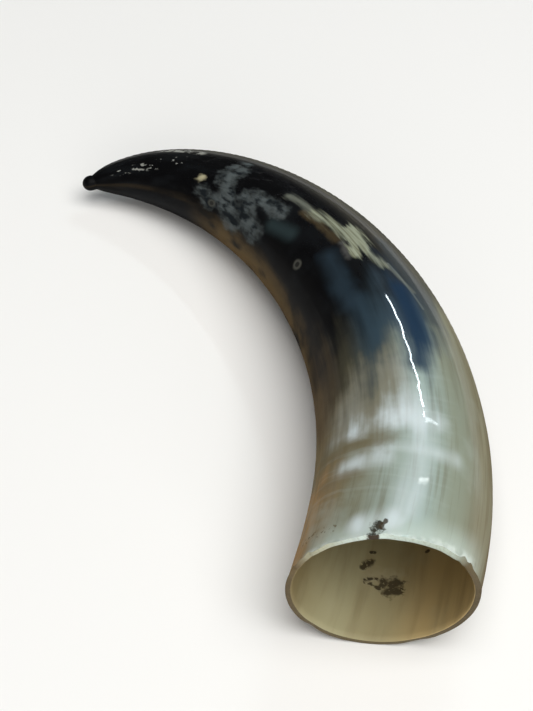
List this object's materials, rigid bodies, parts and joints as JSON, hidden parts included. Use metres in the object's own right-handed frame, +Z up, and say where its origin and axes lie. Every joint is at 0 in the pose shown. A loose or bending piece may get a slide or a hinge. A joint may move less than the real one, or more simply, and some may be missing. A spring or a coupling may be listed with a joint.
{
  "type": "bull horn",
  "caption": "Curved hollow bull horn, sawn flat at its mouth and tapering to a blunt knob at the tip, lying on its side.",
  "frame": {"origin": "middle of the horn's box on the surface that it lies on", "axes": "+Z up from the surface, +Y from the mouth's side towards the tip's side, +X towards the outside of the curve"},
  "size_m": [0.1516, 0.2342, 0.0616],
  "materials": {
    "horn": "polished keratin, cream at the mouth to black at the tip"
  },
  "bodies": {
    "root": {"horn": "horn"}
  },
  "joints": []
}
